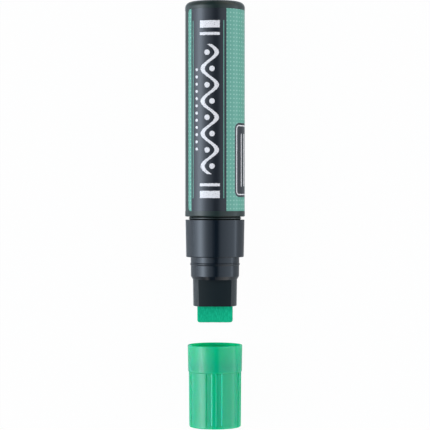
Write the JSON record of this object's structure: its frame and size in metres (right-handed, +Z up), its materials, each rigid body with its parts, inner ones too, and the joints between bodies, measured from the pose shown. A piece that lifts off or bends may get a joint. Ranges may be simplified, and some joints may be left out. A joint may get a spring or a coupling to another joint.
{
  "type": "liquid chalk marker",
  "caption": "Round-barrelled liquid chalk marker with a wide felt nib, a pump valve behind it and a ribbed push-on cap shown pulled off in line.",
  "frame": {"origin": "on the floor under the middle of the marker and its pulled-off cap", "axes": "+X along the marker's axis from the rear end to the nib, +Z up out of the side that the nib's wide face shows"},
  "size_m": [0.179, 0.0252, 0.0252],
  "materials": {
    "barrel_plastic": "satin charcoal moulding",
    "label_film": "printed gloss film",
    "housing_plastic": "semi-gloss black moulding",
    "nib_felt": "dense felt soaked with green ink",
    "cap_plastic": "gloss green moulding",
    "seal_rubber": "smooth soft seal",
    "valve_plastic": "natural moulding",
    "spring_steel": "drawn wire",
    "ball_steel": "polished ball"
  },
  "bodies": {
    "barrel": {"barrel": "barrel_plastic", "rear_plug": "barrel_plastic", "label": "label_film", "neck_gasket": "seal_rubber", "front_housing": "housing_plastic", "nib_holder": "housing_plastic", "valve_seat": "valve_plastic", "spring_cage": "valve_plastic", "valve_spring": "spring_steel"},
    "nib": {"nib": "nib_felt", "valve_rod": "valve_plastic", "valve_seal": "seal_rubber"},
    "mixing_ball": {"mixing_ball": "ball_steel"},
    "cap": {"cap": "cap_plastic", "cap_seal": "seal_rubber"}
  },
  "joints": [
    {"name": "cap_slide", "type": "slide", "parent": "barrel", "child": "cap", "axis": [1, 0, 0], "range_m": [-0.0369, 0]},
    {"name": "nib_press", "type": "slide", "parent": "barrel", "child": "nib", "axis": [-1, 0, 0], "range_m": [0, 0.0025], "stiffness_N_per_m": 1200, "springref_m": -0.002, "deforming": ["valve_spring"]},
    {"name": "ball_roll", "type": "slide", "parent": "barrel", "child": "mixing_ball", "axis": [1, 0, 0], "range_m": [-0.0347, 0.0347]}
  ]
}
